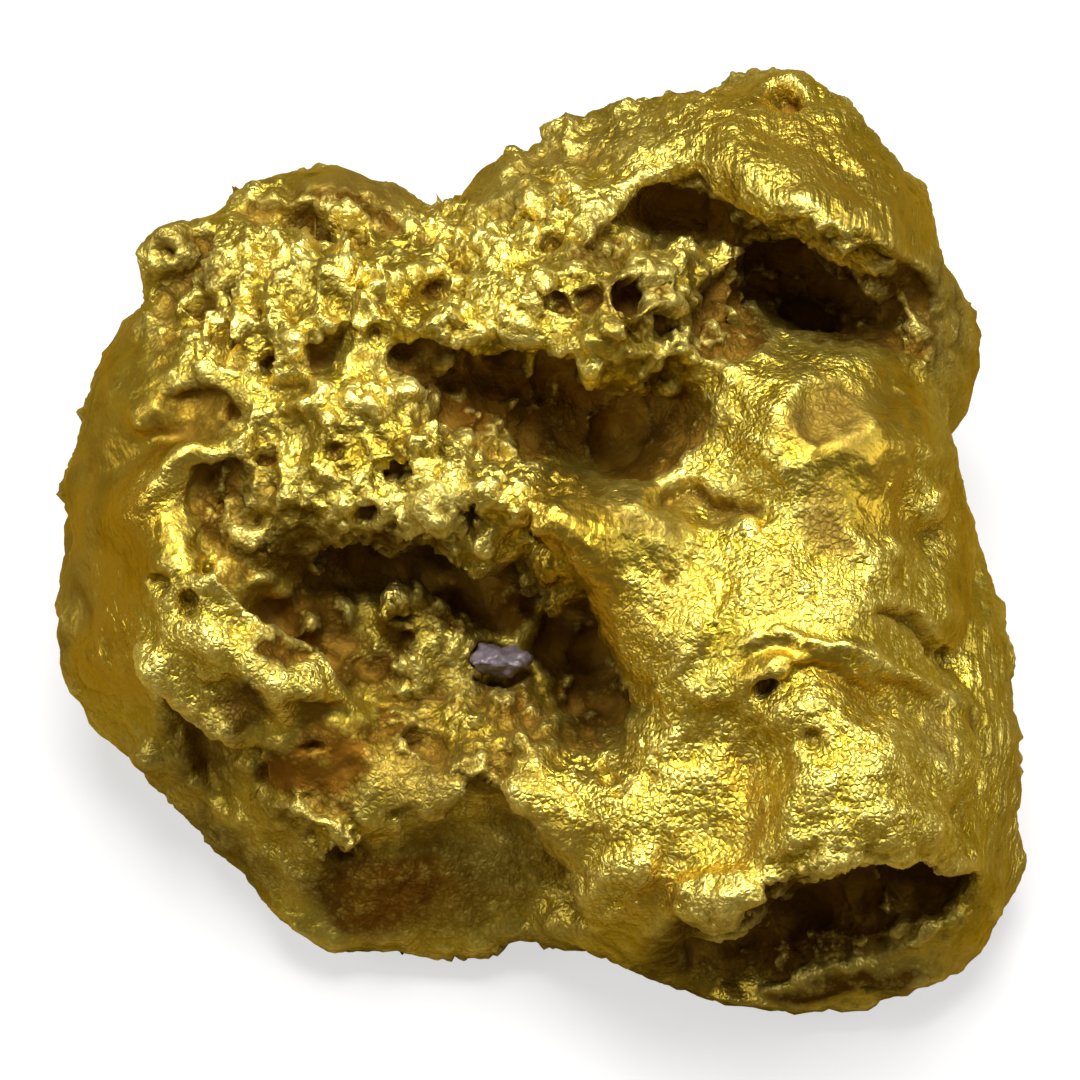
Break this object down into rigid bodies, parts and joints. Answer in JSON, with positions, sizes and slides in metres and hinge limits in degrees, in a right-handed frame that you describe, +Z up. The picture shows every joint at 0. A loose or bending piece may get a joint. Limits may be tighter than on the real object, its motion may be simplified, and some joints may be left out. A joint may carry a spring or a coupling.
{
  "type": "gold nugget",
  "caption": "Natural placer gold nugget: a rounded, pitted lump with a crumbly crust, smooth worn folds and a chip of host quartz wedged in its hollow.",
  "frame": {"origin": "middle of the bounding box, on the surface that the nugget rests on", "axes": "+Z up, the least extent; +X the greatest extent, to the right as one looks at the show face; the show face leans back towards +Y and looks towards -Y and up"},
  "size_m": [0.0132, 0.0125, 0.0072],
  "materials": {
    "native_gold": null,
    "host_quartz": "glassy grey-lilac quartz"
  },
  "bodies": {
    "root": {"gold_body": "native_gold", "quartz_grain": "host_quartz"}
  },
  "joints": []
}
